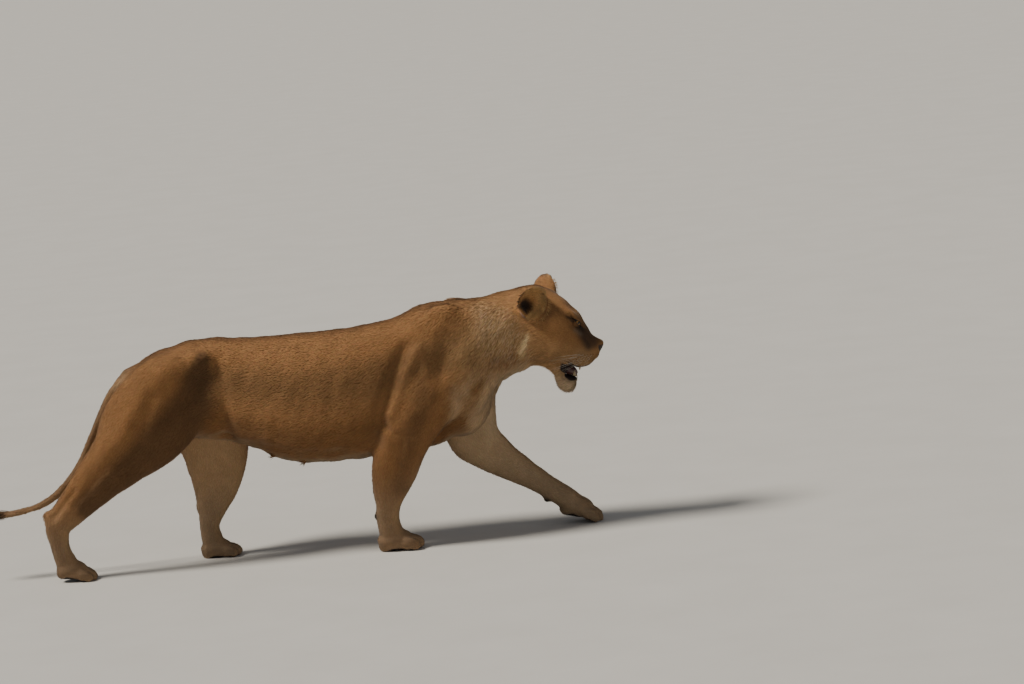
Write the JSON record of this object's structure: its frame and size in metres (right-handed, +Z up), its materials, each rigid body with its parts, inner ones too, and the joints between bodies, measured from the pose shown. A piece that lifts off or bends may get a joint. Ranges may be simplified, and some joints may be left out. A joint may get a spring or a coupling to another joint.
{
  "type": "lioness",
  "caption": "Life-size still lioness in a walking pose, head low and jaws parted, with a long tufted tail.",
  "frame": {"origin": "on the floor, under the middle of the animal's bounding box", "axes": "+X the way she walks, +Y her left side, +Z up"},
  "size_m": [2.3866, 0.3684, 0.9091],
  "materials": {
    "coat": "short dense tawny coat, matte",
    "eye": "amber, glossy",
    "mouth": "moist pink",
    "dark_hair": "dark brown hair, matte"
  },
  "bodies": {
    "root": {"head": "coat", "lower_jaw": "coat", "ear_right": "coat", "ear_left": "coat", "eye_right": "eye", "eye_left": "eye", "tongue": "mouth", "neck": "coat", "chest": "coat", "belly": "coat", "rump": "coat", "shoulder_right": "coat", "forearm_right": "coat", "forepaw_right": "coat", "shoulder_left": "coat", "forearm_left": "coat", "forepaw_left": "coat", "thigh_right": "coat", "shank_right": "coat", "hindpaw_right": "coat", "thigh_left": "coat", "shank_left": "coat", "hindpaw_left": "coat", "tail_base": "coat", "tail_middle": "coat", "tail_end": "coat", "tail_tuft": "dark_hair"}
  },
  "joints": []
}
